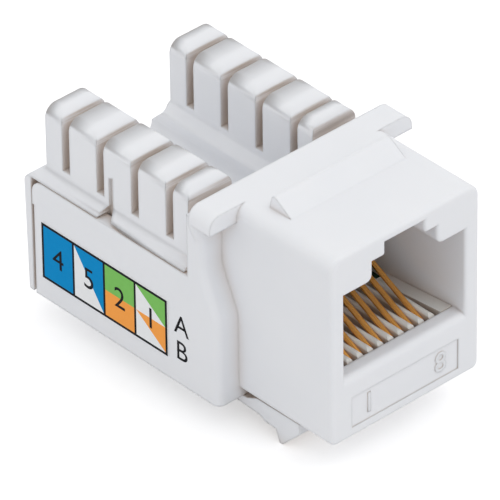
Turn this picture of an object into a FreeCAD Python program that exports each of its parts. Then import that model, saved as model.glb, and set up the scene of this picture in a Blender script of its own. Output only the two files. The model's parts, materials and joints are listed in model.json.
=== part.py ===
import FreeCAD, Part
import os

import Sketcher

# A snap-in keystone jack: an 8-way modular port in front and two rows of
# insulation-displacement teeth behind. X runs across the jack, Y from the port
# to the rear, Z up. The layout is drawn with Y = 0 on the port's front face and
# Z = 0 on the underside of the nose; every sub-part's Placement then carries the
# whole layout to an origin at the bottom centre of the jack.

DIMENSIONS = {
    # the whole jack
    "overall_depth": 31.30,
    "latch_drop": 2.95,
    "running_gap": 0.04,
    # nose: the box that passes through the wall plate
    "nose_width": 14.70,
    "nose_height": 16.35,
    "nose_corner": 1.00,
    "nose_foot_corner": 0.60,
    "front_edge_round": 0.30,
    "port_edge_round": 0.25,
    "sill_round": 0.60,
    "key_round": 0.60,
    "clip_round": 0.25,
    "front_wall": 1.35,
    # modular port
    "port_width": 12.00,
    "port_sill": 5.40,
    "port_top": 12.85,
    "port_depth": 11.20,
    "key_width": 6.40,
    "key_top": 14.50,
    "clip_width": 3.90,
    "clip_top": 15.60,
    "cavity_floor": 1.45,
    "rear_door_top": 7.20,
    # shallow panel under the port
    "panel_width": 10.60,
    "panel_low": 0.85,
    "panel_high": 3.50,
    "panel_sink": 0.10,
    # fixed wedge on top of the nose
    "wedge_width": 11.30,
    "wedge_foot": 5.90,
    "wedge_ridge": 7.90,
    "wedge_heel": 8.20,
    "wedge_rise": 1.25,
    "wedge_round": 0.30,
    # flange that stops against the back of the wall plate
    "flange_front": 9.86,
    "flange_back": 13.05,
    "plate_back": 12.15,
    "flange_foot": -0.66,
    "wing_width": 20.00,
    "wing_foot": 13.00,
    "wing_lip": 14.70,
    "wing_corner": 1.05,
    "wing_blend": 1.50,
    "collar_top": 15.00,
    "scoop_low": 6.90,
    "scoop_high": 10.60,
    "scoop_top": 14.90,
    "scoop_sink": 1.65,
    "scoop_round": 2.50,
    "edge_round": 0.60,
    # lower body: floor and two side walls
    "body_width": 18.72,
    "wall_top": 9.52,
    "wall_back": 30.10,
    "wall_step": 0.20,
    "wall_step_top": 7.30,
    "wall_thickness": 1.10,
    "floor_top": 0.50,
    "wall_corner": 1.10,
    "board_rail_width": 0.90,
    "board_rail_back": 28.10,
    # sprung latch below the nose
    "latch_width": 13.76,
    "latch_pivot": 10.30,
    "latch_axis": -1.105,
    "latch_half": 0.355,
    "latch_bend": 9.56,
    "latch_ramp_end": 8.46,
    "latch_ramp_height": -0.25,
    "latch_nose": 3.94,
    "latch_nose_top": -0.20,
    "latch_nose_foot": -1.17,
    "latch_tip": 5.75,
    "latch_tip_flat": 0.30,
    "catch": 6.45,
    "catch_top": -1.90,
    "catch_pad": 1.20,
    "catch_pad_height": -1.84,
    "catch_ramp": 0.45,
    "catch_step": 0.10,
    "relief_front": 3.64,
    "relief_high": 0.95,
    "relief_low": 0.15,
    "latch_root_flat": 12.20,
    "latch_root_back": 12.90,
    # terminal block
    "seam": 0.08,
    "block_front": 13.12,
    "shoulder_front": 13.50,
    "shoulder_lip": 0.15,
    "shoulder_top": 10.30,
    "trough_edge": 10.40,
    "trough_radius": 4.13,
    "rear_slope_run": 1.70,
    "rear_slope_drop": 2.10,
    "rear_round": 3.20,
    "rear_corner": 0.65,
    "rear_draft": 0.25,
    "apron_foot": -0.60,
    # shallow groove down the middle of the block's sides, and the slit at its foot
    "groove_front": 22.25,
    "groove_back": 22.70,
    "groove_top": 12.95,
    "groove_slant": 0.20,
    "groove_depth": 0.28,
    "slit_front": 20.15,
    "slit_bend": 21.40,
    "slit_height": 0.15,
    "corner_rise": 0.70,
    "notch_back": 22.95,
    "notch_rise": 0.40,
    # punch-down teeth
    "tooth_inner": 4.00,
    "tooth_outer": 8.28,
    "tooth_top": 15.72,
    "tooth_root": 9.60,
    "tooth_corner": 1.00,
    "tooth_nose": 0.90,
    "row_front": 14.05,
    "row_back": 29.60,
    "slot_first": 16.08,
    "slot_pitch": 3.77,
    "slot_width": 0.80,
    "slot_floor": 10.88,
    # forked insulation-displacement terminals
    "blade_thickness": 0.40,
    "blade_width": 2.40,
    "blade_top": 13.90,
    "blade_corner": 0.40,
    "blade_slit": 0.30,
    "blade_mouth": 0.90,
    "blade_mouth_depth": 0.90,
    "blade_slit_floor": 8.20,
    "blade_tail_width": 0.50,
    "blade_tail_foot": 2.40,
    # circuit board
    "board_top": 4.20,
    "board_thickness": 1.20,
    "board_front": 8.40,
    "board_back": 29.40,
    "board_width": 15.60,
    "board_neck_width": 11.80,
    "board_neck_end": 13.40,
    "board_hole": 0.90,
    # contact carrier with its comb
    "carrier_width": 11.92,
    "carrier_back": 8.30,
    "carrier_heel": 9.90,
    "carrier_bed": 3.40,
    "rib_top": 5.50,
    "rib_width": 0.54,
    "rib_nose": 0.60,
    "rib_round": 0.30,
    "rail_high": 5.45,
    "rail_low": 4.75,
    "comb_width": 9.60,
    # spring wire contacts
    "contact_pitch": 1.016,
    "wire_diameter": 0.42,
    "wire_foot": 10.60,
    "wire_tip": 2.10,
    "wire_tip_height": 4.85,
    "wire_bend_run": 0.90,
    "wire_crown": 9.10,
    # wiring label on the side wall
    "label_thickness": 0.08,
    "label_front": 15.26,
    "label_back": 29.03,
    "label_low": 1.25,
    "label_high": 6.22,
}

CONTACTS = 8
SLOTS_PER_ROW = 4
RIBS = CONTACTS + 1
PAST = 1.0  # how far a cut runs past the surface that it opens
BITE = 0.1  # how far a pad runs into the body that it joins
ROOM = 0.02  # how close an edge is to a size when it counts as being there


class Size:
    """A length: its present value, and the expression that ties it to the sheet."""

    def __init__(self, value, text):
        self.value = value
        self.text = text

    def __add__(self, other):
        return combine(self, "+", other)

    def __radd__(self, other):
        return combine(other, "+", self)

    def __sub__(self, other):
        return combine(self, "-", other)

    def __rsub__(self, other):
        return combine(other, "-", self)

    def __mul__(self, other):
        return combine(self, "*", other)

    def __rmul__(self, other):
        return combine(other, "*", self)

    def __truediv__(self, other):
        return combine(self, "/", other)

    def __neg__(self):
        return combine(0.0, "-", self)


def as_size(amount):
    return amount if isinstance(amount, Size) else Size(float(amount), repr(float(amount)))


def combine(left, sign, right):
    left, right = as_size(left), as_size(right)
    values = {
        "+": left.value + right.value,
        "-": left.value - right.value,
        "*": left.value * right.value,
    }
    value = left.value / right.value if sign == "/" else values[sign]
    return Size(value, f"({left.text} {sign} {right.text})")


def root(amount):
    return Size(amount.value ** 0.5, f"sqrt({amount.text})")


class Sheet:
    """Reads a driving dimension by its alias, as a Size."""

    def __getattr__(self, alias):
        return Size(DIMENSIONS[alias], "dims." + alias)


doc = FreeCAD.newDocument("keystone_jack")
cells = doc.addObject("Spreadsheet::Sheet", "dims")
for row, (alias, number) in enumerate(DIMENSIONS.items(), start=1):
    cells.set(f"A{row}", alias.replace("_", " "))
    cells.set(f"B{row}", str(number))
    cells.setAlias(f"B{row}", alias)
doc.recompute()
dim = Sheet()


# ---------------------------------------------------------------- helpers

def new_body(name, across=0.0):
    """A body in the layout frame, moved so that the jack's bottom centre is the origin."""
    body = doc.addObject("PartDesign::Body", name)
    body.Label = name
    body.setExpression("Placement.Base.x", as_size(across).text)
    body.setExpression("Placement.Base.y", (-dim.overall_depth / 2).text)
    body.setExpression("Placement.Base.z", dim.latch_drop.text)
    return body


def new_sketch(body, name, plane, height):
    """A sketch on one of the body's origin planes, lifted to the given height along its axis."""
    sketch = body.newObject("Sketcher::SketchObject", name)
    support = [item for item in body.Origin.OriginFeatures if item.Role == plane + "_Plane"]
    sketch.AttachmentSupport = (support[0], [""])
    sketch.MapMode = "FlatFace"
    lift = -as_size(height) if plane == "XZ" else as_size(height)
    sketch.setExpression("AttachmentOffset.Base.z", lift.text)
    return sketch


def pin(sketch, edge, end, point):
    """Two driving constraints hold one end of an edge at a point."""
    for kind, amount in (("DistanceX", point[0]), ("DistanceY", point[1])):
        amount = as_size(amount)
        index = sketch.addConstraint(Sketcher.Constraint(kind, -1, 1, edge, end, amount.value))
        sketch.setExpression(f"Constraints[{index}]", amount.text)


def vector(point):
    return FreeCAD.Vector(as_size(point[0]).value, as_size(point[1]).value, 0)


def arc_between(start, finish, radius):
    """The shorter arc of a signed radius: positive bulges to the right of start-to-finish."""
    chord = finish - start
    middle = (start + finish) * 0.5
    side = FreeCAD.Vector(-chord.y, chord.x, 0).normalize()
    if radius < 0:
        side = side * -1
    rise = (radius ** 2 - (chord.Length / 2) ** 2) ** 0.5
    centre = middle + side * rise
    crown = centre - side * abs(radius)
    return Part.Arc(start, crown, finish)


def draw(sketch, points, closed=True):
    """A chain of lines. A third item on a point makes the edge that leaves it an arc."""
    count = len(points) if closed else len(points) - 1
    first = sketch.GeometryCount
    for index in range(count):
        start, finish = points[index], points[(index + 1) % len(points)]
        if len(start) == 3:
            radius = as_size(start[2])
            edge = sketch.addGeometry(arc_between(vector(start), vector(finish), radius.value), False)
            # an arc keeps its ends counterclockwise, so a left bulge swaps them
            head, tail = (1, 2) if radius.value > 0 else (2, 1)
            rule = sketch.addConstraint(Sketcher.Constraint("Radius", edge, abs(radius.value)))
            sketch.setExpression(f"Constraints[{rule}]", f"abs({radius.text})")
        else:
            edge = sketch.addGeometry(Part.LineSegment(vector(start), vector(finish)), False)
            head, tail = 1, 2
        pin(sketch, edge, head, start)
        if index:
            joint = Sketcher.Constraint("Coincident", first + index - 1, last_tail, edge, head)
            sketch.addConstraint(joint)
        else:
            first_head = head
        last_tail = tail
    if closed:
        joint = Sketcher.Constraint("Coincident", first + count - 1, last_tail, first, first_head)
        sketch.addConstraint(joint)
    else:
        pin(sketch, first + count - 1, last_tail, points[-1])


def draw_circle(sketch, centre, diameter):
    radius = as_size(diameter) / 2
    circle = Part.Circle(vector(centre), FreeCAD.Vector(0, 0, 1), radius.value)
    edge = sketch.addGeometry(circle, False)
    pin(sketch, edge, 3, centre)
    rule = sketch.addConstraint(Sketcher.Constraint("Radius", edge, radius.value))
    sketch.setExpression(f"Constraints[{rule}]", radius.text)


def extrude(kind, body, name, plane, start, finish, shape):
    """Pads or pockets a shape between two heights along the plane's axis."""
    sketch = new_sketch(body, name + "_sketch", plane, start)
    if isinstance(shape, dict):
        for centre in shape["centres"]:
            draw_circle(sketch, centre, shape["diameter"])
    else:
        draw(sketch, shape)
    before = body.Shape.Volume if body.Tip else 0.0
    feature = body.newObject("PartDesign::" + kind, name)
    feature.Profile = sketch
    feature.Reversed = (plane == "XZ") == (kind == "Pad")
    feature.setExpression("Length", (as_size(finish) - start).text)
    doc.recompute()
    if abs(body.Shape.Volume - before) < 1e-6:
        raise RuntimeError(f"{name} changes nothing in {body.Label}")
    return feature


def pad(body, name, plane, start, finish, shape):
    return extrude("Pad", body, name, plane, start, finish, shape)


def pocket(body, name, plane, start, finish, shape):
    return extrude("Pocket", body, name, plane, start, finish, shape)


def rectangle(low_x, high_x, low_y, high_y):
    return [(low_x, low_y), (high_x, low_y), (high_x, high_y), (low_x, high_y)]


def centred(width, low, high):
    return rectangle(-width / 2, width / 2, low, high)


def mirrored(points):
    """Right-hand points and their reflections, as one loop about the middle line."""
    return points + [(-x, y) for x, y in reversed(points)]


def fillet(body, name, radius, chosen):
    """Rounds the edges of the body that the test picks out."""
    base = body.Tip
    names = [f"Edge{i}" for i, edge in enumerate(base.Shape.Edges, start=1) if chosen(edge)]
    if not names:
        raise RuntimeError(f"{name} finds no edge in {body.Label}")
    feature = body.newObject("PartDesign::Fillet", name)
    feature.Base = (base, names)
    feature.setExpression("Radius", radius.text)
    doc.recompute()
    return feature


def runs_along(edge, axis):
    """True for a straight edge parallel to the axis."""
    if edge.Degenerated or edge.Curve.TypeId != "Part::GeomLine":
        return False
    start, finish = edge.Vertexes[0].Point, edge.Vertexes[-1].Point
    offsets = {"x": finish.x - start.x, "y": finish.y - start.y, "z": finish.z - start.z}
    return all(abs(offsets[other]) < 1e-4 for other in "xyz" if other != axis)


def ordered(first, second):
    """Two sizes, the smaller one first."""
    return sorted([first, second], key=lambda size: size.value)


def middle(edge):
    """The middle of an edge's bounding box."""
    return edge.BoundBox.Center


def near(value, size):
    return abs(value - as_size(size).value) < ROOM


def within(value, low, high):
    return as_size(low).value - ROOM < value < as_size(high).value + ROOM


def is_at(edge, across, height):
    """True for an edge at this height and at this distance to either side."""
    return near(abs(middle(edge).x), across) and near(middle(edge).z, height)


def in_front_face(edge):
    return near(edge.BoundBox.YMin, 0) and near(edge.BoundBox.YMax, 0)


# ---------------------------------------------------------------- front housing

def front_housing():
    """Nose, flange, floor and side walls: one moulding."""
    body = new_body("front_housing")
    nose_half = dim.nose_width / 2
    body_half = dim.body_width / 2
    wing_half = dim.wing_width / 2

    pad(body, "nose", "XZ", 0, dim.plate_back, centred(dim.nose_width, 0, dim.nose_height))
    fillet(body, "nose_shoulders", dim.nose_corner,
           lambda e: runs_along(e, "y") and near(middle(e).z, dim.nose_height))
    fillet(body, "nose_feet", dim.nose_foot_corner,
           lambda e: runs_along(e, "y") and near(middle(e).z, 0))
    fillet(body, "nose_front_round", dim.front_edge_round, in_front_face)

    wing = mirrored([
        (body_half, dim.flange_foot),
        (body_half, dim.wing_foot),
        (wing_half, dim.wing_lip),
        (wing_half, dim.nose_height),
    ])
    pad(body, "flange", "XZ", dim.flange_front, dim.plate_back, wing)
    fillet(body, "wing_blends", dim.wing_blend,
           lambda e: runs_along(e, "y")
           and (is_at(e, body_half, dim.wing_foot) or is_at(e, wing_half, dim.wing_lip)))
    fillet(body, "wing_corners", dim.wing_corner,
           lambda e: runs_along(e, "y") and is_at(e, wing_half, dim.nose_height))
    scoop = [
        (dim.flange_front - PAST, dim.scoop_low),
        (dim.flange_front, dim.scoop_low),
        (dim.flange_front + dim.scoop_sink, dim.scoop_high),
        (dim.flange_front + dim.scoop_sink, dim.scoop_top),
        (dim.flange_front - PAST, dim.scoop_top),
    ]
    pocket(body, "left_scoop", "YZ", -wing_half - PAST, -nose_half, scoop)
    pocket(body, "right_scoop", "YZ", nose_half, wing_half + PAST, scoop)
    fillet(body, "scoop_curves", dim.scoop_round,
           lambda e: runs_along(e, "x") and abs(middle(e).x) > nose_half.value
           and (near(middle(e).z, dim.scoop_low) or near(middle(e).z, dim.scoop_high)))

    collar_front = dim.flange_front + dim.scoop_sink + BITE
    pad(body, "collar", "XZ", collar_front, dim.flange_back,
        centred(dim.body_width, dim.flange_foot, dim.collar_top))
    pad(body, "lower_body", "XZ", collar_front, dim.wall_back,
        centred(dim.body_width, dim.flange_foot, dim.wall_top))
    fillet(body, "flange_side_round", dim.edge_round,
           lambda e: runs_along(e, "z") and near(middle(e).y, dim.flange_front)
           and near(abs(middle(e).x), body_half))
    inner_half = body_half - dim.wall_thickness
    pocket(body, "tray", "XZ", dim.flange_back, dim.wall_back + PAST,
           rectangle(-inner_half, inner_half, dim.floor_top, dim.wall_top + PAST))
    pocket(body, "wall_end_step", "YZ", -body_half - PAST, body_half + PAST,
           rectangle(dim.wall_back - dim.wall_step, dim.wall_back + PAST,
                     dim.flange_foot - PAST, dim.wall_step_top))
    fillet(body, "wall_corners", dim.wall_corner,
           lambda e: runs_along(e, "x") and near(middle(e).z, dim.wall_top)
           and near(middle(e).y, dim.wall_back))
    for side, name in ((-1, "left_rail"), (1, "right_rail")):
        low, high = ordered(inner_half * side, (inner_half - dim.board_rail_width) * side)
        pad(body, name, "XZ", dim.flange_back, dim.board_rail_back,
            rectangle(low, high, dim.floor_top - BITE, board_foot()))

    port = mirrored([
        (dim.port_width / 2, dim.port_sill),
        (dim.port_width / 2, dim.port_top),
        (dim.key_width / 2, dim.port_top),
        (dim.key_width / 2, dim.key_top),
        (dim.clip_width / 2, dim.key_top),
        (dim.clip_width / 2, dim.clip_top),
    ])
    pocket(body, "port", "XZ", -PAST, dim.port_depth, port)
    fillet(body, "key_corners", dim.key_round,
           lambda e: runs_along(e, "y") and is_at(e, dim.key_width / 2, dim.port_top))
    fillet(body, "clip_corners", dim.clip_round,
           lambda e: runs_along(e, "y") and is_at(e, dim.clip_width / 2, dim.key_top))
    fillet(body, "sill_edge", dim.sill_round,
           lambda e: in_front_face(e) and near(middle(e).z, dim.port_sill))
    fillet(body, "port_edges", dim.port_edge_round,
           lambda e: in_front_face(e) and within(middle(e).z, dim.port_sill, dim.clip_top)
           and within(middle(e).x, -dim.port_width / 2, dim.port_width / 2))
    pocket(body, "contact_chamber", "XZ", dim.front_wall, dim.flange_back + PAST,
           centred(dim.port_width, dim.cavity_floor, dim.rear_door_top))
    pocket(body, "front_panel", "XZ", -PAST, dim.panel_sink,
           centred(dim.panel_width, dim.panel_low, dim.panel_high))

    pad(body, "wedge", "YZ", -dim.wedge_width / 2, dim.wedge_width / 2, [
        (dim.wedge_foot, dim.nose_height),
        (dim.wedge_foot, dim.nose_height - BITE),
        (dim.wedge_heel, dim.nose_height - BITE),
        (dim.wedge_heel, dim.nose_height),
        (dim.wedge_ridge, dim.nose_height + dim.wedge_rise),
    ])
    fillet(body, "wedge_ridge_round", dim.wedge_round,
           lambda e: runs_along(e, "x") and near(middle(e).z, dim.nose_height + dim.wedge_rise))

    relief_half = dim.latch_width / 2 + 2 * dim.running_gap
    pocket(body, "latch_relief", "YZ", -relief_half, relief_half, [
        (dim.relief_front, -PAST),
        (dim.relief_front, dim.relief_high),
        (dim.flange_front, dim.relief_low),
        (dim.flange_front, -PAST),
    ])
    pad(body, "latch_root", "YZ", -dim.latch_width / 2, dim.latch_width / 2, [
        (dim.latch_pivot, dim.latch_axis - dim.latch_half),
        (dim.latch_root_flat, dim.latch_axis - dim.latch_half),
        (dim.latch_root_back, dim.flange_foot),
        (dim.latch_root_back, dim.flange_foot + BITE),
        (dim.latch_pivot, dim.flange_foot + BITE),
    ])
    seat = {"centres": [(dim.latch_pivot, dim.latch_axis)],
            "diameter": 2 * (dim.latch_half + dim.running_gap)}
    pocket(body, "latch_seat", "YZ", -relief_half, relief_half, seat)
    return body


# ---------------------------------------------------------------- latch

def latch_arm():
    """The sprung tongue with its hook; its round heel turns in the housing's seat."""
    body = new_body("latch_arm")
    half = dim.latch_width / 2
    underside = dim.latch_axis - dim.latch_half
    pad(body, "tongue", "YZ", -half, half, [
        (dim.latch_pivot, dim.latch_axis + dim.latch_half),
        (dim.latch_bend, dim.latch_axis + dim.latch_half),
        (dim.latch_ramp_end, dim.latch_ramp_height),
        (dim.latch_nose, dim.latch_nose_top),
        (dim.latch_nose, dim.latch_nose_foot),
        (dim.latch_tip, -dim.latch_drop),
        (dim.latch_tip + dim.latch_tip_flat, -dim.latch_drop),
        (dim.catch, dim.catch_top),
        (dim.catch + dim.catch_pad, dim.catch_pad_height),
        (dim.catch + dim.catch_pad + dim.catch_ramp, underside - dim.catch_step),
        (dim.latch_pivot, underside),
    ])
    heel = {"centres": [(dim.latch_pivot, dim.latch_axis)], "diameter": 2 * dim.latch_half}
    pad(body, "heel", "YZ", -half, half, heel)
    return body


# ---------------------------------------------------------------- terminal block

def slot_centre(index):
    return dim.slot_first + dim.slot_pitch * index


def nose_cut(start, front, foot):
    """A cut ahead of a tooth's front face that leaves the tooth's top edge round."""
    return [
        (start, foot),
        (start, dim.tooth_top + PAST),
        (front + dim.tooth_nose, dim.tooth_top + PAST),
        (front + dim.tooth_nose, dim.tooth_top, dim.tooth_nose),
        (front, dim.tooth_top - dim.tooth_nose),
        (front, foot),
    ]


def terminal_block():
    """The rear moulding: shoulders, trough and two rows of punch-down teeth."""
    body = new_body("terminal_block")
    body_half = dim.body_width / 2
    plug_half = body_half - dim.wall_thickness - dim.seam
    shoulder_foot = dim.wall_top + dim.seam
    pad(body, "base", "XZ", dim.block_front, dim.overall_depth, [
        (-plug_half, dim.board_top),
        (plug_half, dim.board_top),
        (plug_half, shoulder_foot),
        (body_half, shoulder_foot),
        (body_half, shoulder_foot + dim.shoulder_lip),
        (dim.tooth_outer, dim.shoulder_top),
        (dim.tooth_inner, dim.trough_edge, -dim.trough_radius),
        (-dim.tooth_inner, dim.trough_edge),
        (-dim.tooth_outer, dim.shoulder_top),
        (-body_half, shoulder_foot + dim.shoulder_lip),
        (-body_half, shoulder_foot),
        (-plug_half, shoulder_foot),
    ])
    pad(body, "apron", "XZ", dim.wall_back + dim.seam, dim.overall_depth,
        rectangle(-body_half, body_half, dim.apron_foot, shoulder_foot))
    outside = body_half + PAST
    arc_foot = dim.trough_edge - dim.rear_slope_drop
    pocket(body, "rear_draft", "YZ", -outside, outside, [
        (dim.overall_depth, arc_foot),
        (dim.overall_depth - dim.rear_draft, dim.apron_foot),
        (dim.overall_depth - dim.rear_draft, dim.apron_foot - PAST),
        (dim.overall_depth + PAST, dim.apron_foot - PAST),
        (dim.overall_depth + PAST, arc_foot),
    ])
    fillet(body, "apron_corners", dim.rear_corner,
           lambda e: near(abs(middle(e).x), body_half) and near(e.BoundBox.YMax, dim.overall_depth)
           and near(e.BoundBox.XLength, 0))
    pocket(body, "rear_round", "YZ", -outside, outside, [
        (dim.overall_depth, arc_foot, dim.rear_round),
        (dim.overall_depth - dim.rear_slope_run, dim.trough_edge),
        (dim.overall_depth - dim.rear_slope_run, dim.trough_edge + PAST),
        (dim.overall_depth + PAST, dim.trough_edge + PAST),
        (dim.overall_depth + PAST, arc_foot),
    ])
    for side, name in ((-1, "left_row"), (1, "right_row")):
        low, high = ordered(dim.tooth_inner * side, dim.tooth_outer * side)
        pad(body, name, "XZ", dim.row_front, dim.row_back,
            rectangle(low, high, dim.tooth_root, dim.tooth_top))
    fillet(body, "tooth_crowns", dim.tooth_corner,
           lambda e: runs_along(e, "y") and near(middle(e).z, dim.tooth_top))
    pocket(body, "front_nose", "YZ", -body_half, body_half,
           nose_cut(dim.row_front - PAST, dim.row_front, dim.trough_edge + BITE))
    slot_half = dim.slot_width / 2
    slot = pocket(body, "slot", "YZ", -body_half, body_half,
                  nose_cut(dim.slot_first - slot_half, dim.slot_first + slot_half, dim.slot_floor))
    repeat(body, "slots", slot, "Y_Axis", SLOTS_PER_ROW, dim.slot_pitch)

    below = shoulder_foot - PAST
    groove = [
        (dim.slit_front, below),
        (dim.slit_front, shoulder_foot),
        (dim.slit_bend, shoulder_foot + dim.slit_height),
        (dim.groove_front, shoulder_foot + dim.corner_rise),
        (dim.groove_front, dim.groove_top),
        (dim.groove_back, dim.groove_top - dim.groove_slant),
        (dim.groove_back, dim.shoulder_top + BITE),
        (dim.notch_back, dim.shoulder_top - dim.notch_rise),
        (dim.notch_back, below),
    ]
    window = rectangle(dim.block_front - PAST, dim.shoulder_front, below, dim.shoulder_top + PAST)
    groove_floor = dim.tooth_outer - dim.groove_depth
    for side, name in ((-1, "left"), (1, "right")):
        low, high = ordered(groove_floor * side, outside * side)
        pocket(body, name + "_groove", "YZ", low, high, groove)
        pocket(body, name + "_window", "YZ", low, high, window)

    half_thick = dim.blade_thickness / 2 + dim.running_gap
    half_wide = dim.blade_width / 2 + dim.running_gap
    for side, name in ((-1, "left_chamber"), (1, "right_chamber")):
        centre = row_centre() * side
        chamber = pocket(body, name, "XY", dim.board_top - PAST, dim.blade_top + dim.running_gap,
                         rectangle(centre - half_thick, centre + half_thick,
                                   dim.slot_first - half_wide, dim.slot_first + half_wide))
        repeat(body, name + "s", chamber, "Y_Axis", SLOTS_PER_ROW, dim.slot_pitch)
    return body


def row_centre():
    return (dim.tooth_inner + dim.tooth_outer) / 2


def idc_terminal(number):
    """A forked blade: its slit grips the wire, its tail goes through the board."""
    row, index = divmod(number - 1, SLOTS_PER_ROW)
    body = new_body(f"idc_terminal_{number}", row_centre() * (-1 if row == 0 else 1))
    half = dim.blade_width / 2
    tail = dim.blade_tail_width / 2
    slit = dim.blade_slit / 2
    right = [
        (tail, dim.blade_tail_foot),
        (tail, dim.board_top),
        (half, dim.board_top),
        (half, dim.blade_top - dim.blade_corner),
        (half - dim.blade_corner, dim.blade_top),
        (dim.blade_mouth / 2, dim.blade_top),
        (slit, dim.blade_top - dim.blade_mouth_depth),
        (slit, dim.blade_slit_floor),
    ]
    outline = [(slot_centre(index) + offset, height) for offset, height in mirrored(right)]
    pad(body, "blade", "YZ", -dim.blade_thickness / 2, dim.blade_thickness / 2, outline)
    return body


# ---------------------------------------------------------------- board and contacts

def board_foot():
    return dim.board_top - dim.board_thickness


def circuit_board():
    """Carries the signals from the spring contacts to the forked terminals."""
    body = new_body("circuit_board")
    outline = mirrored([
        (dim.board_neck_width / 2, dim.board_front),
        (dim.board_neck_width / 2, dim.board_neck_end),
        (dim.board_width / 2, dim.board_neck_end),
        (dim.board_width / 2, dim.board_back),
    ])
    pad(body, "plate", "XY", board_foot(), dim.board_top, outline)
    first_holes = {"centres": [(-row_centre(), dim.slot_first), (row_centre(), dim.slot_first)],
                   "diameter": dim.board_hole}
    holes = pocket(body, "hole", "XY", board_foot() - PAST, dim.board_top + PAST, first_holes)
    repeat(body, "holes", holes, "Y_Axis", SLOTS_PER_ROW, dim.slot_pitch)
    return body


def contact_carrier():
    """The insert in the port's floor: a bed, two side rails and the comb between the wires."""
    body = new_body("contact_carrier")
    half = dim.carrier_width / 2
    front = dim.front_wall + dim.running_gap
    pad(body, "bed", "YZ", -half, half, [
        (front, dim.cavity_floor),
        (dim.carrier_heel, dim.cavity_floor),
        (dim.carrier_heel, board_foot()),
        (dim.carrier_back, board_foot()),
        (dim.carrier_back, dim.carrier_bed),
        (front, dim.carrier_bed),
    ])
    for side, name in ((-1, "left_rail"), (1, "right_rail")):
        low, high = ordered(half * side, dim.comb_width / 2 * side)
        pad(body, name, "YZ", low, high, [
            (front, dim.carrier_bed - BITE),
            (dim.carrier_back, dim.carrier_bed - BITE),
            (dim.carrier_back, dim.rail_low),
            (front, dim.rail_high),
        ])
    first = -dim.contact_pitch * (RIBS - 1) / 2
    rib_half = dim.rib_width / 2
    crown = dim.rib_round - root(dim.rib_round * dim.rib_round - rib_half * rib_half)
    rib = pad(body, "rib", "XZ", front, dim.carrier_back, [
        (first - rib_half, dim.carrier_bed - BITE),
        (first + rib_half, dim.carrier_bed - BITE),
        (first + rib_half, dim.rib_top - crown, dim.rib_round),
        (first - rib_half, dim.rib_top - crown),
    ])
    repeat(body, "ribs", rib, "X_Axis", RIBS, dim.contact_pitch)
    pocket(body, "rib_noses", "YZ", -dim.comb_width / 2, dim.comb_width / 2, [
        (front - PAST, dim.rib_top - dim.rib_nose),
        (front - PAST, dim.rib_top + PAST),
        (front + dim.rib_nose, dim.rib_top + PAST),
        (front + dim.rib_nose, dim.rib_top, dim.rib_nose),
        (front, dim.rib_top - dim.rib_nose),
    ])
    return body


def octagon(centre, width):
    """Eight corners round a centre, with flats this far apart."""
    far = width / 2
    close = far * (2 ** 0.5 - 1)
    corners = [(far, close), (close, far), (-close, far), (-far, close),
               (-far, -close), (-close, -far), (close, -far), (far, -close)]
    return [(centre[0] + across, centre[1] + along) for across, along in corners]


def spring_contact(number):
    """A wire that rises from the board, bends over and runs down into the comb."""
    across = dim.contact_pitch * (number - (CONTACTS + 1) / 2)
    body = new_body(f"contact_{number}", across)
    foot = dim.board_top + dim.running_gap / 2
    reach = dim.wire_foot - dim.wire_tip
    rise = dim.wire_crown - dim.wire_tip_height
    length = root(reach * reach + rise * rise)
    share = dim.wire_bend_run / length
    radius = dim.wire_bend_run * reach / (length + rise)
    path = new_sketch(body, "path", "YZ", 0)
    draw(path, [
        (dim.wire_foot, foot),
        (dim.wire_foot, dim.wire_crown - dim.wire_bend_run, radius),
        (dim.wire_foot - reach * share, dim.wire_crown - rise * share),
        (dim.wire_tip, dim.wire_tip_height),
    ], closed=False)
    section = new_sketch(body, "section", "XY", foot)
    draw(section, octagon((0, dim.wire_foot), dim.wire_diameter))
    wire = body.newObject("PartDesign::AdditivePipe", "wire")
    wire.Profile = section
    wire.Spine = (path, [])
    doc.recompute()
    return body


# ---------------------------------------------------------------- label

def wiring_label():
    """The thin printed sticker with the wire colours, on the left side wall."""
    body = new_body("wiring_label")
    outer = -dim.body_width / 2
    pad(body, "film", "YZ", outer - dim.label_thickness, outer,
        rectangle(dim.label_front, dim.label_back, dim.label_low, dim.label_high))
    return body


def repeat(body, name, feature, axis_role, count, pitch):
    """Repeats a feature along one of the body's axes."""
    pattern = body.newObject("PartDesign::LinearPattern", name)
    pattern.Originals = [feature]
    axis = [item for item in body.Origin.OriginFeatures if item.Role == axis_role]
    pattern.Direction = (axis[0], [""])
    pattern.Mode = "Spacing"
    pattern.Occurrences = count
    pattern.setExpression("Offset", pitch.text)
    body.Tip = pattern
    doc.recompute()
    return pattern


# ---------------------------------------------------------------- run

bodies = [
    front_housing(),
    latch_arm(),
    terminal_block(),
    circuit_board(),
    contact_carrier(),
    wiring_label(),
]
bodies += [spring_contact(number) for number in range(1, CONTACTS + 1)]
bodies += [idc_terminal(number) for number in range(1, 2 * SLOTS_PER_ROW + 1)]
doc.recompute()

for item in doc.Objects:
    if "Invalid" in item.State or "Error" in item.State:
        raise RuntimeError(f"{item.Label} failed: {item.State}")
os.makedirs("parts", exist_ok=True)
for body in bodies:
    shape = body.Shape
    if shape.isNull() or not shape.isValid():
        raise RuntimeError(f"{body.Label} has no valid shape")
    shape.exportStep(f"parts/{body.Label}.step")
    print(f"{body.Label}: {len(shape.Solids)} solid, {shape.Volume:.1f} mm3")
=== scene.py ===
# %% [markdown]
# A keystone jack is the small plastic socket that snaps into a wall plate. A network
# plug goes in at the front, and the eight wires of a cable are pushed down between the
# teeth at the back. It is nearly all injection-moulded plastic, so this lesson is about
# three things: a white plastic that has depth, a printed label with crisp edges, and
# gilt wires that catch the light. The solid shapes come ready made and stay untouched:
# where the rear block needs more shape, a copy of it is worked instead.

# %% Load the jack
import json
import math
import random

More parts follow.
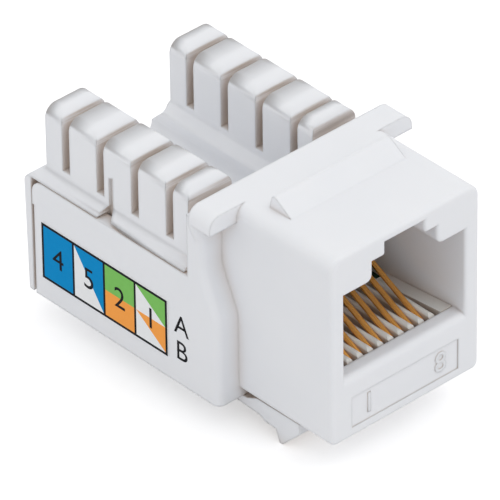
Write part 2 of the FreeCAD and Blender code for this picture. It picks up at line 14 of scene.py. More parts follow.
import bpy
from mathutils import Euler, Matrix, Vector

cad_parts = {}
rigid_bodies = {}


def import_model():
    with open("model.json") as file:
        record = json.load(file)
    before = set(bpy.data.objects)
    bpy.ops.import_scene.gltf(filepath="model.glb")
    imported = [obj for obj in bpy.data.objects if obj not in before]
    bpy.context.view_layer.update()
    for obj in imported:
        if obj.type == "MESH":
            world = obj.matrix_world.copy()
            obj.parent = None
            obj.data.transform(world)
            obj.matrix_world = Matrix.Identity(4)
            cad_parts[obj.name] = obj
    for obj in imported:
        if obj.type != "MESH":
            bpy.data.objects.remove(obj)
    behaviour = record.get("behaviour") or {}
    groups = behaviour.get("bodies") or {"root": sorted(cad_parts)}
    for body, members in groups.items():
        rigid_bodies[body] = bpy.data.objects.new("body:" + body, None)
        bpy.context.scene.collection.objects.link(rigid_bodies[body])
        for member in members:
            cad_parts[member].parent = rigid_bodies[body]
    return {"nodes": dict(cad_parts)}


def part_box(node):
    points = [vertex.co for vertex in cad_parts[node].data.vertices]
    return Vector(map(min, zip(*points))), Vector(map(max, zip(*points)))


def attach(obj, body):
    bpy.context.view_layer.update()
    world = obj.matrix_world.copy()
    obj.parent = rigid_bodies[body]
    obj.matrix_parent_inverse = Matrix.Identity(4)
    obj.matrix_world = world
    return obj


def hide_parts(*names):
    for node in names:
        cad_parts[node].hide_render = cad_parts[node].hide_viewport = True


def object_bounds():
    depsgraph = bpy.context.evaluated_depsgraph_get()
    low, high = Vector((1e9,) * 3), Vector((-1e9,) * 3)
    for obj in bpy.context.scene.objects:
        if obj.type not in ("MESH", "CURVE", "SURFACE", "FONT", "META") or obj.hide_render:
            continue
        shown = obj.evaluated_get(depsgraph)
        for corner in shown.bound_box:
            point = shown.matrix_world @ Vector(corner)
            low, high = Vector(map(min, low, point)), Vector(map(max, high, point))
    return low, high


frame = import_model()
cad_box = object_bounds()
random.seed(7)
MM = 0.001
low, high = (Vector(corner) for corner in cad_box)
jack_size = high - low
print("nodes:", len(frame["nodes"]), "size in mm:", [round(side / MM, 2) for side in jack_size])

# %% [markdown]
# Everything is placed from the jack's own boxes, so the first helpers only choose what an
# operator will act on. Operators work on whatever is selected, and the loaded parts start
# out selected, so each step begins by clearing the selection.

# %% Choose one piece
def pick(*pieces):
    """Selects these pieces and nothing else; the last one is active."""
    if bpy.context.mode != "OBJECT":
        bpy.ops.object.mode_set(mode="OBJECT")
    bpy.ops.object.select_all(action="DESELECT")
    for piece in pieces:
        piece.select_set(True)
        bpy.context.view_layer.objects.active = piece


def settle(piece, name):
    """Names a finished piece and moves its place into its mesh."""
    pick(piece)
    bpy.ops.object.transform_apply(location=True, rotation=True, scale=True)
    piece.name = name
    piece.data.name = name
    return piece


pick(*frame["nodes"].values())
bpy.ops.object.select_all(action="DESELECT")
print("selection cleared:", len(bpy.context.selected_objects) == 0)

# %% [markdown]
# The camera comes first, because every later choice is judged through it. It is a long
# lens far away, which keeps the jack's parallel edges nearly parallel, looking down at
# the port from the front left. A turn about its own axis of under one degree levels it.

# %% Camera
CAMERA_AZIMUTH = -42.19
CAMERA_ELEVATION = 35.31
CAMERA_ROLL = -0.75
CAMERA_DISTANCE = 601.0 * MM
LENS = 593.2
AIM = Vector((-2.31, -1.61, 10.86)) * MM


def direction(azimuth, elevation):
    """The unit vector towards a place seen from the jack: azimuth 0 is in front of the port."""
    turn, lift = math.radians(azimuth), math.radians(elevation)
    return Vector((math.sin(turn) * math.cos(lift), -math.cos(turn) * math.cos(lift), math.sin(lift)))


camera_data = bpy.data.cameras.new("camera")
camera_data.lens = LENS
camera_data.sensor_width = 36.0
camera_data.clip_end = 10.0
camera = bpy.data.objects.new("camera", camera_data)
bpy.context.scene.collection.objects.link(camera)
towards_camera = direction(CAMERA_AZIMUTH, CAMERA_ELEVATION)
roll = Matrix.Rotation(math.radians(CAMERA_ROLL), 4, "Z")
look = towards_camera.to_track_quat("Z", "Y").to_matrix().to_4x4()
camera.matrix_world = Matrix.Translation(AIM + towards_camera * CAMERA_DISTANCE) @ look @ roll
bpy.context.scene.camera = camera
print("camera at", [round(value / MM, 1) for value in camera.location])

# %% [markdown]
# Colours are given as they look on a screen, but a shader works with linear
# light. One function turns a screen colour into a linear one. Another adds a node to a
# material, sets it and links it, so each finish below reads as a short list of nodes.

# %% Colours and nodes
def linear(code):
    """A screen colour such as #f2f3f5 as linear red, green, blue and alpha."""
    parts = [int(code[place:place + 2], 16) / 255 for place in (1, 3, 5)]
    return tuple(v / 12.92 if v <= 0.04045 else ((v + 0.055) / 1.055) ** 2.4 for v in parts) + (1.0,)


def add_node(tree, kind, settings=None, **sockets):
    """Adds a node. A socket is given as a value or as the output that feeds it."""
    node = tree.nodes.new("ShaderNode" + kind)
    for name, value in (settings or {}).items():
        setattr(node, name, value)
    for name, value in sockets.items():
        socket = node.inputs[int(name[1:])] if name[0] == "n" and name[1:].isdigit() else node.inputs[name]
        if isinstance(value, bpy.types.NodeSocket):
            tree.links.new(value, socket)
        else:
            socket.default_value = value
    return node


def new_finish(name):
    """An empty material with a shader and its output, ready for a finish."""
    finish = bpy.data.materials.new(name)
    finish.use_nodes = True
    shader = finish.node_tree.nodes["Principled BSDF"]
    return finish, finish.node_tree, shader


print("white reads as", [round(v, 3) for v in linear("#f2f3f5")])

# %% [markdown]
# The housing, the latch and the terminal block are ABS, moulded in a polished steel tool.
# ABS is slightly translucent, so light creeps a little way round its corners and the
# shadows in it are soft. Its corners are never sharp either: the steel leaves a radius
# of a quarter of a millimetre or so. A Bevel node rounds them in the shading, which keeps
# the shapes untouched. Deep slots get painted shade: an Ambient Occlusion node finds them
# and mixes a warm, darker tone into the colour there, in place of the warm dim light that
# fills them through the plastic. A faint ripple, like orange peel, breaks the reflections up.

# %% White moulded ABS
ABS_WHITE = "#eff0f3"
ABS_THIN = "#e9ebef"
ABS_PAINTED_SHADE = "#d3c4b8"
ABS_ROUGHNESS = 0.38
EDGE_RADIUS = 0.27 * MM
INSERT_ROUGHNESS = 0.3
INSERT_RADIUS = 0.06 * MM
PAINTED_SHADE_REACH = 2.5 * MM
RIPPLE_SIZE = 1.6 * MM
RIPPLE_HEIGHT = 0.01 * MM
GRAIN_SIZE = 0.12 * MM
GRAIN_HEIGHT = 0.002 * MM
LIGHT_CREEP = 0.5 * MM


def moulded_abs(name, colour, second_colour, edge_radius, roughness):
    """Moulded plastic: soft edges, painted warm shade in its depths, a faint ripple and cloudy changes of
    tone.
    """
    finish, tree, shader = new_finish(name)
    place = add_node(tree, "TexCoord").outputs["Object"]
    cloud = add_node(tree, "TexNoise", Vector=place, Scale=0.35 / RIPPLE_SIZE, Detail=2.0)
    tone = add_node(tree, "Mix", {"data_type": "RGBA"}, n0=cloud.outputs["Fac"],
                    n6=linear(colour), n7=linear(second_colour))
    # Painted shade: where ambient occlusion finds slots and crevices, a warm darker colour is mixed into
    # the base.
    open_share = add_node(tree, "AmbientOcclusion", {"samples": 8}, Distance=PAINTED_SHADE_REACH)
    depth = add_node(tree, "MapRange", Value=open_share.outputs["AO"], n1=0.15, n2=0.7)
    painted_shade_tone = add_node(tree, "Mix", {"data_type": "RGBA"}, n0=depth.outputs["Result"],
                         n6=linear(ABS_PAINTED_SHADE), n7=tone.outputs[2])
    tree.links.new(painted_shade_tone.outputs[2], shader.inputs["Base Color"])
    soft_edge = add_node(tree, "Bevel", {"samples": 6}, Radius=edge_radius)
    ripple = add_node(tree, "TexNoise", Vector=place, Scale=1 / RIPPLE_SIZE, Detail=1.0)
    waves = add_node(tree, "Bump", Normal=soft_edge.outputs["Normal"], Height=ripple.outputs["Fac"],
                     Strength=0.25, Distance=RIPPLE_HEIGHT)
    grain = add_node(tree, "TexNoise", Vector=place, Scale=1 / GRAIN_SIZE, Detail=2.0)
    skin = add_node(tree, "Bump", Normal=waves.outputs["Normal"], Height=grain.outputs["Fac"],
                    Strength=0.2, Distance=GRAIN_HEIGHT)
    tree.links.new(skin.outputs["Normal"], shader.inputs["Normal"])
    shader.inputs["Roughness"].default_value = roughness
    shader.inputs["IOR"].default_value = 1.54
    shader.inputs["Subsurface Weight"].default_value = 0.12
    shader.inputs["Subsurface Radius"].default_value = (1.0, 0.95, 0.9)
    shader.inputs["Subsurface Scale"].default_value = LIGHT_CREEP
    return finish


white_abs = moulded_abs("moulded_white_abs", ABS_WHITE, ABS_THIN, EDGE_RADIUS, ABS_ROUGHNESS)
insert_abs = moulded_abs("moulded_insert_abs", "#e6e5e1", "#dddcd7", INSERT_RADIUS, INSERT_ROUGHNESS)
print("plastics:", white_abs.name, insert_abs.name)

# %% [markdown]
# The eight contacts are spring wires of phosphor bronze with a flash of gold over nickel.
# Drawing the wire through a die leaves fine lines along it. A metal has no colour of its
# own apart from its reflections, so the colour goes on the base with Metallic at 1.

# %% Gilt spring wire
DRAWN_LINE = 0.03 * MM


def gilt_wire():
    """Gold-plated drawn wire: warm reflections broken by lines along its length."""
    finish, tree, shader = new_finish("gilt_spring_wire")
    place = add_node(tree, "TexCoord").outputs["Object"]
    along = add_node(tree, "Mapping", Vector=place, Scale=(1 / DRAWN_LINE, 60.0, 60.0))
    lines = add_node(tree, "TexNoise", Vector=along.outputs["Vector"], Scale=1.0, Detail=2.0)
    tone = add_node(tree, "Mix", {"data_type": "RGBA"}, n0=lines.outputs["Fac"],
                    n6=linear("#ffc26c"), n7=linear("#e49b4b"))
    tree.links.new(tone.outputs[2], shader.inputs["Base Color"])
    wear = add_node(tree, "MapRange", Value=lines.outputs["Fac"], n3=0.2, n4=0.34)
    tree.links.new(wear.outputs["Result"], shader.inputs["Roughness"])
    shader.inputs["Metallic"].default_value = 1.0
    return finish


wire_gold = gilt_wire()
print("wire finish:", wire_gold.name)

# %% [markdown]
# The forked terminals down in the slots are stamped from tinned phosphor bronze. Tin is a
# dull silver, but the bare bronze shows at the stamped edges, so the finish runs between
# a warm brown and a grey in fine upright streaks.

# %% Tinned bronze
def tinned_bronze():
    """Stamped terminal metal with streaks from the press."""
    finish, tree, shader = new_finish("tinned_phosphor_bronze")
    place = add_node(tree, "TexCoord").outputs["Object"]
    upright = add_node(tree, "Mapping", Vector=place, Scale=(6000.0, 6000.0, 300.0))
    streak = add_node(tree, "TexNoise", Vector=upright.outputs["Vector"], Scale=1.0, Detail=3.0)
    tone = add_node(tree, "Mix", {"data_type": "RGBA"}, n0=streak.outputs["Fac"],
                    n6=linear("#b3a08a"), n7=linear("#8c7460"))
    tree.links.new(tone.outputs[2], shader.inputs["Base Color"])
    wear = add_node(tree, "MapRange", Value=streak.outputs["Fac"], n3=0.3, n4=0.5)
    tree.links.new(wear.outputs["Result"], shader.inputs["Roughness"])
    shader.inputs["Metallic"].default_value = 1.0
    return finish


fork_metal = tinned_bronze()
print("terminal finish:", fork_metal.name)

# %% [markdown]
# The circuit board is glass-fibre laminate under a green solder mask. The mask is a thin
# lacquer, so copper tracks show through it as slightly paler, raised bands. They run
# straight from the contacts to the terminals, and a wave pattern is enough to say so.

# %% Solder mask
TRACK_PITCH = 2.0 * MM
TRACK_HEIGHT = 0.03 * MM


def solder_mask():
    """Green lacquer over copper tracks."""
    finish, tree, shader = new_finish("green_solder_mask")
    place = add_node(tree, "TexCoord").outputs["Object"]
    tracks = add_node(tree, "TexWave", {"bands_direction": "X"}, Vector=place,
                      Scale=math.tau / TRACK_PITCH / 20)
    edge = add_node(tree, "MapRange", Value=tracks.outputs["Fac"], n1=0.62, n2=0.72)
    tone = add_node(tree, "Mix", {"data_type": "RGBA"}, n0=edge.outputs["Result"],
                    n6=linear("#0c3a20"), n7=linear("#1a5a34"))
    tree.links.new(tone.outputs[2], shader.inputs["Base Color"])
    relief = add_node(tree, "Bump", Height=edge.outputs["Result"], Strength=0.5, Distance=TRACK_HEIGHT)
    tree.links.new(relief.outputs["Normal"], shader.inputs["Normal"])
    shader.inputs["Roughness"].default_value = 0.25
    shader.inputs["IOR"].default_value = 1.5
    return finish


board_green = solder_mask()
print("board finish:", board_green.name)

# %% [markdown]
# The label is a strip of vinyl film, printed in flat inks. The inked film is duller than
# the plastic under it and has a faint pebble. One function gives the bare film and the inks:
# an ink differs only in its colour and in how much of its density varies.

# %% Film and inks
MOTTLE_SIZE = 0.5 * MM
PEBBLE_HEIGHT = 0.004 * MM


def printed_film(name, colour, faded):
    """Vinyl film, bare or inked, with the slight mottle of a printed colour."""
    finish, tree, shader = new_finish(name)
    place = add_node(tree, "TexCoord").outputs["Object"]
    mottle = add_node(tree, "TexNoise", Vector=place, Scale=1 / MOTTLE_SIZE, Detail=3.0)
    tone = add_node(tree, "Mix", {"data_type": "RGBA"}, n0=mottle.outputs["Fac"],
                    n6=linear(colour), n7=linear(faded))
    tree.links.new(tone.outputs[2], shader.inputs["Base Color"])
    pebble = add_node(tree, "Bump", Height=mottle.outputs["Fac"], Strength=0.2, Distance=PEBBLE_HEIGHT)
    tree.links.new(pebble.outputs["Normal"], shader.inputs["Normal"])
    shader.inputs["Roughness"].default_value = 0.55
    shader.inputs["Specular IOR Level"].default_value = 0.06
    return finish


film_white = printed_film("vinyl_film", "#f4f5f6", "#eceeef")
inks = {
    "black": printed_film("ink_black", "#17171a", "#232327"),
    "blue": printed_film("ink_blue", "#008fd0", "#008ac8"),
    "green": printed_film("ink_green", "#84c868", "#7cc060"),
    "orange": printed_film("ink_orange", "#ffab54", "#faa34c"),
    "white": printed_film("ink_white", "#f4f5f6", "#eceeef"),
}
print("inks:", ", ".join(inks))

# %% [markdown]
# Now each solid gets its finish. The nodes of one family share a start to their names, so
# a short table of starts is enough.

# %% Give the solids their finishes
FINISHES = {
    "front_housing": white_abs,
    "latch_arm": white_abs,
    "terminal_block": white_abs,
    "contact_carrier": insert_abs,
    "circuit_board": board_green,
    "wiring_label": film_white,
    "contact_": wire_gold,
    "idc_terminal_": fork_metal,
}


def finish_for(node_name):
    """The finish of the longest matching start of a node's name."""
    starts = [start for start in FINISHES if node_name.startswith(start)]
    return FINISHES[max(starts, key=len)]


for node_name, node in frame["nodes"].items():
    finish = finish_for(node_name)
    for place in node.material_slots:
        place.material = finish
    if not node.material_slots:
        node.data.materials.append(finish)
    print(node_name, "gets", finish.name)

# %% [markdown]
# A cable comes in from behind and lies in the trough between the two rows of teeth. The
# loaded block has a round trough whose end is closed by the rear wall. On the real block
# the trough runs out through that wall, its sides drop steeply, and each side has a
# sloped cheek at the feet of the teeth. So the block gets a shaped copy: two cheeks are
# joined to it, and a slot and an open end are cut. Booleans suit this, because each form
# is simple and ends inside another one.

# %% Copy the block and mould the cheeks
block_low, block_high = (Vector(corner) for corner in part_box("terminal_block"))
CHEEK_INNER = 3.15 * MM
CHEEK_OUTER = 4.2 * MM
CHEEK_HEIGHT = 1.9 * MM
CHEEK_RISE = 0.75 * MM
CHEEK_ROUND = 0.2 * MM
RIDGE_DROP = 6.02 * MM
FRONT_INSET = 0.1 * MM
REAR_INSET = 0.3 * MM
MERGE_DISTANCE = 0.0005 * MM
cheek_ridge = block_high.z - RIDGE_DROP
cheek_front = block_low.y + FRONT_INSET
cheek_rear = block_high.y - REAR_INSET


def box_between(name, near_corner, far_corner):
    """A new box-shaped piece between two corners."""
    pick()
    middle = [(a + b) / 2 for a, b in zip(near_corner, far_corner)]
    bpy.ops.mesh.primitive_cube_add(size=1.0, location=middle)
    box = bpy.context.active_object
    box.scale = [b - a for a, b in zip(near_corner, far_corner)]
    return settle(box, name)


def choose_corners(piece, test):
    """In edit mode, selects the corners whose place passes the test."""
    bpy.ops.object.mode_set(mode="EDIT")
    bpy.ops.mesh.select_mode(type="VERT")
    bpy.ops.mesh.select_all(action="DESELECT")
    bpy.ops.object.mode_set(mode="OBJECT")
    for corner in piece.data.vertices:
        corner.select = test(corner.co)
    bpy.ops.object.mode_set(mode="EDIT")


def bevel_chosen(size, segments):
    """Bevels the edges between the chosen corners and leaves edit mode."""
    bpy.ops.mesh.select_mode(type="EDGE")
    bpy.ops.mesh.bevel(offset=size, segments=segments, affect="EDGES")
    bpy.ops.object.mode_set(mode="OBJECT")


def work_in(piece, tool, operation):
    """Joins a tool's form to a piece, or cuts it out, and removes the tool."""
    pick(piece)
    bpy.ops.object.modifier_add(type="BOOLEAN")
    change = piece.modifiers[-1]
    change.operation = operation
    change.object = tool
    bpy.ops.object.modifier_apply(modifier=change.name)
    bpy.data.objects.remove(tool)


def mould_cheek(side):
    """One sloped side of the trough, round along its inner upper edge."""
    inner, outer = sorted((side * CHEEK_INNER, side * CHEEK_OUTER))
    cheek = box_between("cheek", (inner, cheek_front, cheek_ridge - CHEEK_HEIGHT),
                        (outer, cheek_rear, cheek_ridge))
    halfway = (CHEEK_INNER + CHEEK_OUTER) / 2
    choose_corners(cheek, lambda c: abs(c.x) > halfway and c.z > cheek_ridge - CHEEK_ROUND)
    bpy.ops.transform.translate(value=(0, 0, CHEEK_RISE))
    choose_corners(cheek, lambda c: abs(c.x) < halfway and c.z > cheek_ridge - CHEEK_ROUND)
    bevel_chosen(CHEEK_ROUND, 4)
    return cheek


plain_block = frame["nodes"]["terminal_block"]
trough_block = bpy.data.objects.new("trough_block", plain_block.data.copy())
bpy.context.scene.collection.objects.link(trough_block)
pick(trough_block)
bpy.ops.object.mode_set(mode="EDIT")
bpy.ops.mesh.select_all(action="SELECT")
bpy.ops.mesh.remove_doubles(threshold=MERGE_DISTANCE)
bpy.ops.object.mode_set(mode="OBJECT")
for side in (-1, 1):
    work_in(trough_block, mould_cheek(side), "UNION")
print("block with cheeks:", len(trough_block.data.polygons), "faces")

# %% [markdown]
# Three plain cutters open the trough. The first gives it steep sides and a floor as low
# as the round one. It is a hair narrower than the gap between the cheeks, so that no two
# faces lie in one plane. The other two take away the rear wall between the rows, the
# upper one with a sloped front, as the rear ends of the cheeks fall away backwards.

# %% Cut the slot and the open end
SLOT_HALF = 3.14 * MM
SLOT_ROUND = 1.3 * MM
FLOOR_DROP = 8.45 * MM
END_HALF = 5.0 * MM
END_RUN = 1.68 * MM
END_SLOPE = 1.15 * MM
SLOPE_DROP = 7.12 * MM
CROWN_DROP = 3.0 * MM
REACH = 1.0 * MM
OVERLAP = 0.1 * MM
slot_floor = block_high.z - FLOOR_DROP
slot_top = cheek_ridge - 2 * CHEEK_ROUND
end_front = block_high.y - END_RUN
slope_foot = block_high.z - SLOPE_DROP
slot_cutter = box_between("slot_cutter", (-SLOT_HALF, block_low.y - REACH, slot_floor),
                          (SLOT_HALF, block_high.y + REACH, slot_top))
for side in (-1, 1):
    choose_corners(slot_cutter, lambda c: c.x * side > 0 and c.z < slot_floor + OVERLAP)
    bevel_chosen(SLOT_ROUND, 8)
work_in(trough_block, slot_cutter, "DIFFERENCE")
slope_cutter = box_between("slope_cutter", (-END_HALF, end_front, slope_foot),
                           (END_HALF, block_high.y + REACH, block_high.z - CROWN_DROP))
choose_corners(slope_cutter, lambda c: c.y < end_front + REACH and c.z < slope_foot + REACH)
bevel_chosen(END_SLOPE, 1)
work_in(trough_block, slope_cutter, "DIFFERENCE")
end_cutter = box_between("end_cutter", (-END_HALF, end_front + END_SLOPE, slot_floor + OVERLAP / 10),
                         (END_HALF, block_high.y + REACH, slope_foot + OVERLAP))
work_in(trough_block, end_cutter, "DIFFERENCE")
print("cut block:", len(trough_block.data.polygons), "faces")

# %% [markdown]
# The cuts leave long, thin triangles, which shade badly. A limited dissolve joins those
# that lie in one plane, smooth shading is limited by angle, and weighted normals keep the
# large faces flat beside the rounds. The shaped block is then shown in place of the
# loaded one. A closed shell has two faces at every edge, and the last lines count them.

# %% Shade the block and put it in place
FLAT_ANGLE = 0.3
SMOOTH_ANGLE = 50
pick(trough_block)
bpy.ops.object.mode_set(mode="EDIT")
bpy.ops.mesh.select_all(action="SELECT")
bpy.ops.mesh.dissolve_limited(angle_limit=math.radians(FLAT_ANGLE))
bpy.ops.object.mode_set(mode="OBJECT")
bpy.ops.object.shade_smooth_by_angle(angle=math.radians(SMOOTH_ANGLE))
bpy.ops.object.modifier_add(type="WEIGHTED_NORMAL")
weights = trough_block.modifiers[-1]
weights.keep_sharp = True
bpy.ops.object.modifier_apply(modifier=weights.name)
trough_block.data.materials.clear()
trough_block.data.materials.append(white_abs)
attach(trough_block, "housing")
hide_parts("terminal_block")
uses = [0] * len(trough_block.data.edges)
for corner in trough_block.data.loops:
    uses[corner.edge_index] += 1
loose_edges = sum(count != 2 for count in uses)
print("finished block:", len(trough_block.data.polygons), "faces,", loose_edges, "open edges")

# %% [markdown]
# The label shows which pair of wires goes in each slot: four cells, each with a number
# and the colours of its wire. Crisp edges matter more than anything here, so the print
# is a thin skin of real faces rather than a pattern in a shader. It starts as one plane
# that stands on the film, is cut across by bisecting, and gets its black lines by inset.

# %% Lay out the print
film_low, film_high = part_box("wiring_label")
SKIN = 0.012 * MM
BORDER = 0.11 * MM
CELLS = 4
film_length = film_high[1] - film_low[1]
film_height = film_high[2] - film_low[2]
film_face = film_low[0]
cell_length = (film_length - 2 * BORDER) / CELLS
film_middle = Vector((film_face, (film_low[1] + film_high[1]) / 2, (film_low[2] + film_high[2]) / 2))


def choose_faces(piece, test):
    """In edit mode, selects the faces whose middle passes the test."""
    bpy.ops.object.mode_set(mode="OBJECT")
    for face in piece.data.polygons:
        face.select = test(face.center)
    for edge in piece.data.edges:
        edge.select = False
    for corner in piece.data.vertices:
        corner.select = False
    bpy.ops.object.mode_set(mode="EDIT")


pick()
bpy.ops.mesh.primitive_plane_add(size=1.0, location=film_middle)
label_print = bpy.context.active_object
label_print.rotation_euler = (0, math.radians(-90), 0)
label_print.scale = (film_height, film_length, 1.0)
settle(label_print, "label_print")
print("print:", round(film_length / MM, 2), "by", round(film_height / MM, 2), "mm")

# %% [markdown]
# Cutting is done in edit mode. The outer border comes first, because inset keeps it even
# all round; then the three cuts between the cells, and an inset of each cell by itself,
# which leaves a black line twice as wide where two cells meet.

# %% Cut the cells
pick(label_print)
bpy.ops.object.mode_set(mode="EDIT")
bpy.ops.mesh.select_mode(type="FACE")
bpy.ops.mesh.select_all(action="SELECT")
bpy.ops.mesh.inset(thickness=BORDER)
inner_front = film_low[1] + BORDER
for number in range(1, CELLS):
    choose_faces(label_print, lambda c: abs(c.z - film_middle.z) < film_height / 4
                 and film_low[1] + BORDER < c.y < film_high[1] - BORDER)
    cut_place = Vector((film_face, inner_front + number * cell_length, film_middle.z))
    bpy.ops.mesh.bisect(plane_co=cut_place, plane_no=(0, 1, 0))
choose_faces(label_print, lambda c: abs(c.z - film_middle.z) < film_height / 4
             and film_low[1] + BORDER < c.y < film_high[1] - BORDER)
bpy.ops.mesh.inset(thickness=BORDER, use_individual=True)
bpy.ops.object.mode_set(mode="OBJECT")
print("faces after the cells:", len(label_print.data.polygons))

# %% [markdown]
# A striped wire is shown by a diagonal: colour above it, white below. The cells with two
# schemes are cut level across the middle first. Each cut is a plane through the corners
# of the patch that it divides, so the diagonals run from corner to corner.

# %% Cut the stripes
def patch_corners(number, half=None):
    """Low front corner and high rear corner of a cell, or of its upper or lower half."""
    front = inner_front + number * cell_length + BORDER
    rear = inner_front + (number + 1) * cell_length - BORDER
    foot, top = film_low[2] + 2 * BORDER, film_high[2] - 2 * BORDER
    if half == "upper":
        foot = film_middle.z
    if half == "lower":
        top = film_middle.z
    return front, rear, foot, top


def inside(centre, patch):
    """True where a face's middle lies within a patch of the print."""
    front, rear, foot, top = patch
    return front < centre.y < rear and foot < centre.z < top


def cut_patch(patch, through, normal):
    """Divides one patch of the print by a plane."""
    pick(label_print)
    bpy.ops.object.mode_set(mode="EDIT")
    choose_faces(label_print, lambda c: inside(c, patch))
    bpy.ops.mesh.bisect(plane_co=through, plane_no=normal)
    bpy.ops.object.mode_set(mode="OBJECT")


def above_diagonal(centre, patch):
    """True on the coloured side of the line from the low front to the high rear corner."""
    front, rear, foot, top = patch
    return (centre.z - foot) * (rear - front) > (centre.y - front) * (top - foot)


for number in (0, 1):
    cut_patch(patch_corners(number), film_middle, (0, 0, 1))
striped = [patch_corners(0, "upper"), patch_corners(0, "lower"), patch_corners(2)]
for front, rear, foot, top in striped:
    across = Vector((0, -(top - foot), rear - front)).normalized()
    cut_patch((front, rear, foot, top), Vector((film_face, front, foot)), across)
print("faces after the stripes:", len(label_print.data.polygons))

# %% [markdown]
# The number of each cell says which ink it takes. Cells are counted from the port end:
# the first is a striped pair in two schemes, the second the plain pair, the third the
# striped blue and the last the plain blue. All that is left between them is black line.

# %% Ink the faces
INK_ORDER = ["black", "blue", "green", "orange", "white"]
CELL_INKS = {0: ("green", "orange"), 1: ("green", "orange"), 2: ("blue", "blue"), 3: ("blue", "blue")}
STRIPED_CELLS = (0, 2)


def ink_of(centre):
    """The ink of the face with this middle."""
    for number, (upper, lower) in CELL_INKS.items():
        if not inside(centre, patch_corners(number)):
            continue
        two_schemes = upper != lower
        in_upper = centre.z > film_middle.z
        half = ("upper" if in_upper else "lower") if two_schemes else None
        if number in STRIPED_CELLS and not above_diagonal(centre, patch_corners(number, half)):
            return "white"
        return upper if in_upper else lower
    return "black"


for name in INK_ORDER:
    label_print.data.materials.append(inks[name])
for face in label_print.data.polygons:
    face.material_index = INK_ORDER.index(ink_of(face.center))
skin = label_print.modifiers.new("skin", "SOLIDIFY")
skin.thickness = SKIN
skin.offset = 1.0
pick(label_print)
bpy.ops.object.modifier_apply(modifier="skin")
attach(label_print, "housing")
print("inked faces:", len(label_print.data.polygons))

# %% [markdown]
# Numbers and letters are text objects, made into meshes once they are the right size.
# The text is turned so that it reads from the label's side, out past the wall. A little
# extrusion lifts the ink off the film, as a thick screen print would.

# %% Print the numbers and letters
DIGIT_HEIGHT = 1.9 * MM
DIGIT_DROP = 0.1 * MM
LETTER_HEIGHT = 1.75 * MM
LETTER_GAP = 1.45 * MM
LETTER_A_RISE = 0.85 * MM
LETTER_B_RISE = -1.45 * MM
CAPITAL_SHARE = 0.73
INK_DEPTH = 0.006 * MM
FACE_LEFT = Euler((math.radians(90), 0, math.radians(-90)))


def print_text(name, words, centre, height, turn, finish, depth, weight=0.0):
    """A word as a mesh, centred on a point and standing up from the surface by its depth."""
    pick()
    bpy.ops.object.text_add(location=centre, rotation=turn)
    text = bpy.context.active_object
    text.data.body = words
    text.data.size = height / CAPITAL_SHARE
    text.data.align_x = "CENTER"
    text.data.align_y = "CENTER"
    text.data.extrude = depth
    text.data.offset = weight
    text.data.resolution_u = 6
    text.data.materials.append(finish)
    bpy.ops.object.convert(target="MESH")
    text = settle(bpy.context.active_object, name)
    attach(text, "housing")
    return text


for number, digit in enumerate("1254"):
    front, rear = patch_corners(number)[:2]
    centre = Vector((film_face - SKIN, (front + rear) / 2, film_middle.z - DIGIT_DROP))
    mark = print_text(f"label_digit_{digit}", digit, centre, DIGIT_HEIGHT, FACE_LEFT, inks["black"],
                      INK_DEPTH)
wall_face = film_high[0]
letter_place = film_low[1] - LETTER_GAP
for letter, rise in (("A", LETTER_A_RISE), ("B", LETTER_B_RISE)):
    centre = Vector((wall_face, letter_place, film_middle.z + rise))
    mark = print_text(f"scheme_letter_{letter}", letter, centre, LETTER_HEIGHT, FACE_LEFT,
                      inks["black"], INK_DEPTH)
marks = [piece.name for piece in bpy.data.objects if piece.name.startswith(("label_d", "scheme"))]
print("printed:", marks)

# %% [markdown]
# The shallow panel under the port carries raised pin numbers on many jacks, 1 at one end
# and 8 at the other. They are part of the same moulding, so they share its plastic.

# %% Raise the pin numbers
housing_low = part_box("front_housing")[0]
PANEL_SINK = 0.10 * MM
PANEL_HEIGHT = 3.64 * MM
PIN_NUMBER_HEIGHT = 1.8 * MM
PIN_NUMBER_DEPTH = 0.08 * MM
STROKE_GAIN = 0.03 * MM
FACE_FRONT = Euler((math.radians(90), 0, 0))
for digit in "18":
    wire_low, wire_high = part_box("contact_" + digit)
    across = (wire_low[0] + wire_high[0]) / 2
    centre = Vector((across, housing_low[1] + PANEL_SINK, housing_low[2] + PANEL_HEIGHT))
    mark = print_text(f"pin_number_{digit}", digit, centre, PIN_NUMBER_HEIGHT, FACE_FRONT, white_abs,
                      PIN_NUMBER_DEPTH, STROKE_GAIN)
    print("pin number", digit, "at", [round(v / MM, 2) for v in centre])

# %% [markdown]
# The jack sits on a pale table in a white studio. The table is far larger than the jack,
# so its edge never shows. It is a little under white where it is lit and the shadow keeps
# its softness; a touch of glow, seen by the camera alone, lifts the open table to white.

# %% Table
TABLE_SIZE = 4.0
TABLE_GLOW = 0.42
pick()
bpy.ops.mesh.primitive_grid_add(x_subdivisions=2, y_subdivisions=2, size=TABLE_SIZE,
                                location=(0, 0, low.z))
table = settle(bpy.context.active_object, "table")
paper, tree, shader = new_finish("pale_table")
place = add_node(tree, "TexCoord").outputs["Object"]
fibre = add_node(tree, "TexNoise", Vector=place, Scale=400.0, Detail=2.0)
tone = add_node(tree, "Mix", {"data_type": "RGBA"}, n0=fibre.outputs["Fac"],
                n6=linear("#e9e9ea"), n7=linear("#ececed"))
tree.links.new(tone.outputs[2], shader.inputs["Base Color"])
shader.inputs["Roughness"].default_value = 1.0
shader.inputs["Specular IOR Level"].default_value = 0.0
seen = add_node(tree, "LightPath").outputs["Is Camera Ray"]
glow = add_node(tree, "Math", {"operation": "MULTIPLY"}, n0=seen, n1=TABLE_GLOW)
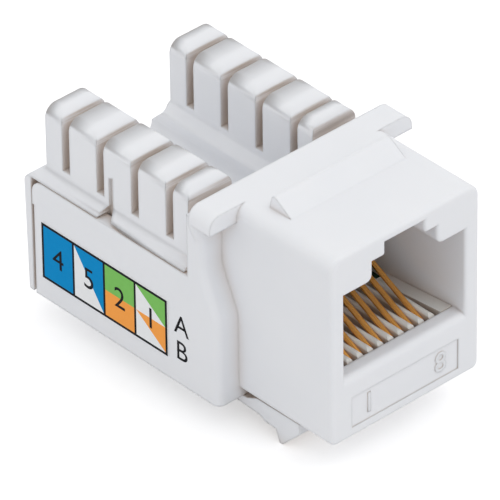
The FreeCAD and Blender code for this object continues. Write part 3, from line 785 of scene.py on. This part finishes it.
shader.inputs["Emission Color"].default_value = linear("#ffffff")
tree.links.new(glow.outputs["Value"], shader.inputs["Emission Strength"])
table.data.materials.append(paper)
print("table at", round(low.z / MM, 2), "mm")

# %% [markdown]
# The light is soft and comes from everywhere, with one large lamp above and to the right
# of the port to part the top from the sides. The world is plain white to the camera and
# in reflections, and a little dimmer as a light, so that a colour renders as written.

# %% Lights
SKY_LIGHT = 0.89
LAMP_AZIMUTH = 28.0
LAMP_ELEVATION = 56.0
LAMP_DISTANCE = 0.6
LAMP_SIZE = 0.2
LAMP_POWER = 0.3

world = bpy.data.worlds.new("studio")
bpy.context.scene.world = world
world.use_nodes = True
sky = world.node_tree
sky.nodes.clear()
path = add_node(sky, "LightPath")
seen = add_node(sky, "Math", {"operation": "MAXIMUM"}, n0=path.outputs["Is Camera Ray"],
                n1=path.outputs["Is Glossy Ray"])
seen = add_node(sky, "Math", {"operation": "MAXIMUM"}, n0=seen.outputs["Value"],
                n1=path.outputs["Is Transmission Ray"])
dim_sky = add_node(sky, "Background", Color=linear("#ffffff"), Strength=SKY_LIGHT)
white_sky = add_node(sky, "Background", Color=linear("#ffffff"), Strength=1.0)
either = add_node(sky, "MixShader", n0=seen.outputs["Value"], n1=dim_sky.outputs["Background"],
                  n2=white_sky.outputs["Background"])
add_node(sky, "OutputWorld", Surface=either.outputs["Shader"])

lamp_data = bpy.data.lights.new("softbox", "AREA")
lamp_data.size = LAMP_SIZE
lamp_data.energy = LAMP_POWER
lamp = bpy.data.objects.new("softbox", lamp_data)
bpy.context.scene.collection.objects.link(lamp)
towards_lamp = direction(LAMP_AZIMUTH, LAMP_ELEVATION)
lamp.location = towards_lamp * LAMP_DISTANCE
lamp.rotation_euler = towards_lamp.to_track_quat("Z", "Y").to_euler()
bpy.context.scene.view_settings.view_transform = "Standard"
print("lamp at", [round(value, 3) for value in lamp.location])

# %% [markdown]
# Last, a line is printed to say that the scene is complete.

# %% Finish
print("scene complete")
